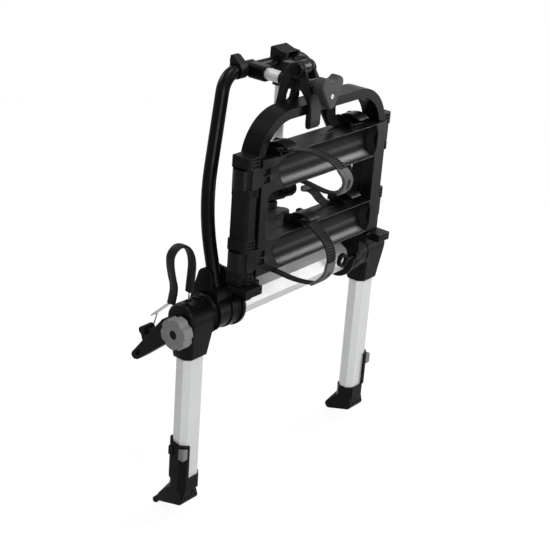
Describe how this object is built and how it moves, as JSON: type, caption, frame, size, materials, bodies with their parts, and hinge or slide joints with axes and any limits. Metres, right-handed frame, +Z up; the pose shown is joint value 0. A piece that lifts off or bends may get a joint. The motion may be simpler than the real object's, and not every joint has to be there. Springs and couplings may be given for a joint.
{
  "type": "trunk mounted bike rack",
  "caption": "Folding trunk mounted bike rack: octagonal crossbar on two telescoping legs, bent hoop with frame clamps, folding wheel tray platform and cable hooks.",
  "frame": {"origin": "middle of the rack's bounding box in the stored pose", "axes": "+X across the vehicle to the right as seen from behind it, +Y towards the vehicle, +Z up along the legs"},
  "size_m": [0.613, 0.3332, 0.8565],
  "materials": {
    "aluminium": "satin anodised",
    "black_tube": "satin black coat",
    "steel": "zinc plated",
    "grey_plastic": "moulded grey",
    "black_rubber": "moulded",
    "black_plastic": "fine moulded grain"
  },
  "bodies": {
    "crossbar": {"crossbar": "aluminium", "bar_plugs": "black_plastic", "pivot_drums": "black_plastic"},
    "leg_left": {"elbow_left": "black_plastic", "leg_tube_left": "aluminium", "sheath_left": "black_rubber", "cable_wire_left": "steel", "hook_plate_left": "black_rubber"},
    "leg_right": {"elbow_right": "black_plastic", "leg_tube_right": "aluminium", "sheath_right": "black_rubber", "cable_wire_right": "steel", "hook_plate_right": "black_rubber"},
    "tension_knob": {"tension_knob": "grey_plastic", "knob_cap": "black_plastic"},
    "foot_left": {"foot_left": "black_plastic", "foot_steel_left": "steel"},
    "foot_right": {"foot_right": "black_plastic", "foot_steel_right": "steel"},
    "button_left": {"foot_button_left": "grey_plastic"},
    "button_right": {"foot_button_right": "grey_plastic"},
    "hoop": {"hoop_tube": "black_tube", "hoop_holders": "black_plastic", "window_pads": "black_rubber"},
    "arm_1": {"arm_1_socket": "black_plastic", "arm_1_tube": "aluminium", "arm_1_head": "black_plastic", "arm_1_bolt": "steel"},
    "jaw_1_front": {"arm_1_jaw_front": "black_plastic"},
    "jaw_1_rear": {"arm_1_jaw_rear": "black_plastic"},
    "wing_1": {"arm_1_wing": "grey_plastic"},
    "arm_2": {"arm_2_socket": "black_plastic", "arm_2_tube": "aluminium", "arm_2_head": "black_plastic", "arm_2_bolt": "steel"},
    "jaw_2_front": {"arm_2_jaw_front": "black_plastic"},
    "jaw_2_rear": {"arm_2_jaw_rear": "black_plastic"},
    "wing_2": {"arm_2_wing": "grey_plastic"},
    "platform": {"platform_tube": "black_tube", "hinge_posts": "black_plastic", "hinge_pins": "steel", "platform_brackets": "black_plastic"},
    "lock_pull": {"lock_pull": "black_plastic"},
    "front_tray": {"front_tray": "black_plastic", "front_straps": "black_rubber", "front_strap_ends": "grey_plastic", "front_buckles": "black_plastic"},
    "lever_front_upper": {"lever_front_upper": "black_plastic"},
    "lever_front_lower": {"lever_front_lower": "black_plastic"},
    "rear_tray": {"rear_tray": "black_plastic", "rear_straps": "black_rubber", "rear_strap_ends": "grey_plastic", "rear_buckles": "black_plastic"},
    "lever_rear_upper": {"lever_rear_upper": "black_plastic"},
    "lever_rear_lower": {"lever_rear_lower": "black_plastic"}
  },
  "joints": [
    {"name": "platform_fold", "type": "hinge", "parent": "crossbar", "child": "platform", "pos_m": [0.01151, 0.01042, -0.01541], "axis": [1, 0, 0], "range_deg": [0, 90]},
    {"name": "hoop_tilt", "type": "hinge", "parent": "crossbar", "child": "hoop", "pos_m": [0.01151, 0.01042, -0.01541], "axis": [1, 0, 0], "range_deg": [0, 90]},
    {"name": "leg_left_angle", "type": "hinge", "parent": "crossbar", "child": "leg_left", "pos_m": [0.01151, 0.01042, -0.01541], "axis": [1, 0, 0], "range_deg": [-40, 14]},
    {"name": "leg_right_angle", "type": "hinge", "parent": "crossbar", "child": "leg_right", "pos_m": [0.01151, 0.01042, -0.01541], "axis": [1, 0, 0], "range_deg": [-40, 14]},
    {"name": "tension_knob_turn", "type": "hinge", "parent": "leg_left", "child": "tension_knob", "pos_m": [0.01151, 0.00142, -0.03041], "axis": [-1, 0, 0], "continuous": true},
    {"name": "foot_left_slide", "type": "slide", "parent": "leg_left", "child": "foot_left", "axis": [0, 0, -1], "range_m": [0, 0.06]},
    {"name": "button_left_press", "type": "slide", "parent": "foot_left", "child": "button_left", "axis": [0.7071, 0.7071, 0], "range_m": [0, 0.003], "stiffness_N_per_m": 900},
    {"name": "foot_right_slide", "type": "slide", "parent": "leg_right", "child": "foot_right", "axis": [0, 0, -1], "range_m": [0, 0.06]},
    {"name": "button_right_press", "type": "slide", "parent": "foot_right", "child": "button_right", "axis": [-0.7071, 0.7071, 0], "range_m": [0, 0.003], "stiffness_N_per_m": 900},
    {"name": "arm_1_lift", "type": "hinge", "parent": "hoop", "child": "arm_1", "pos_m": [-0.03848, 0.09258, 0.38629], "axis": [-1, 0, 0], "range_deg": [0, 90]},
    {"name": "jaw_1_front_open", "type": "hinge", "parent": "arm_1", "child": "jaw_1_front", "pos_m": [-0.03848, -0.03358, 0.41329], "axis": [-1, 0, 0], "range_deg": [0, 24]},
    {"name": "jaw_1_rear_open", "type": "hinge", "parent": "arm_1", "child": "jaw_1_rear", "pos_m": [-0.03848, -0.03358, 0.41329], "axis": [1, 0, 0], "range_deg": [0, 24]},
    {"name": "wing_1_turn", "type": "hinge", "parent": "jaw_1_front", "child": "wing_1", "pos_m": [-0.03848, -0.07358, 0.38529], "axis": [0, -1, 0], "continuous": true},
    {"name": "arm_2_lift", "type": "hinge", "parent": "hoop", "child": "arm_2", "pos_m": [0.06152, 0.09258, 0.38629], "axis": [1, 0, 0], "range_deg": [0, 75]},
    {"name": "jaw_2_front_open", "type": "hinge", "parent": "arm_2", "child": "jaw_2_front", "pos_m": [0.06152, 0.06558, 0.13629], "axis": [-1, 0, 0], "range_deg": [0, 24]},
    {"name": "jaw_2_rear_open", "type": "hinge", "parent": "arm_2", "child": "jaw_2_rear", "pos_m": [0.06152, 0.06558, 0.13629], "axis": [1, 0, 0], "range_deg": [0, 24]},
    {"name": "wing_2_turn", "type": "hinge", "parent": "jaw_2_front", "child": "wing_2", "pos_m": [0.06152, 0.09358, 0.09629], "axis": [0, 0, -1], "continuous": true},
    {"name": "lock_pull_out", "type": "slide", "parent": "platform", "child": "lock_pull", "axis": [-1, 0, 0], "range_m": [0, 0.006], "stiffness_N_per_m": 400},
    {"name": "front_tray_swing", "type": "hinge", "parent": "platform", "child": "front_tray", "pos_m": [-0.19498, -0.04358, 0.17459], "axis": [0, 0, -1], "range_deg": [0, 180]},
    {"name": "rear_tray_swing", "type": "hinge", "parent": "platform", "child": "rear_tray", "pos_m": [0.21801, -0.03158, 0.17459], "axis": [0, 0, -1], "range_deg": [0, 5]},
    {"name": "lever_front_upper_open", "type": "hinge", "parent": "front_tray", "child": "lever_front_upper", "pos_m": [-0.11649, -0.03758, 0.29159], "axis": [-1, 0, 0], "range_deg": [0, 40]},
    {"name": "lever_front_lower_open", "type": "hinge", "parent": "front_tray", "child": "lever_front_lower", "pos_m": [-0.02848, -0.03558, 0.13759], "axis": [-1, 0, 0], "range_deg": [0, 40]},
    {"name": "lever_rear_upper_open", "type": "hinge", "parent": "rear_tray", "child": "lever_rear_upper", "pos_m": [0.12551, -0.01558, 0.29159], "axis": [-1, 0, 0], "range_deg": [0, 40]},
    {"name": "lever_rear_lower_open", "type": "hinge", "parent": "rear_tray", "child": "lever_rear_lower", "pos_m": [0.12551, -0.01558, 0.13759], "axis": [-1, 0, 0], "range_deg": [0, 40]}
  ],
  "couplings": [
    {"joint": "hoop_tilt", "follows": "platform_fold", "ratio": 1},
    {"joint": "jaw_1_rear_open", "follows": "jaw_1_front_open", "ratio": 1},
    {"joint": "jaw_2_rear_open", "follows": "jaw_2_front_open", "ratio": 1}
  ]
}
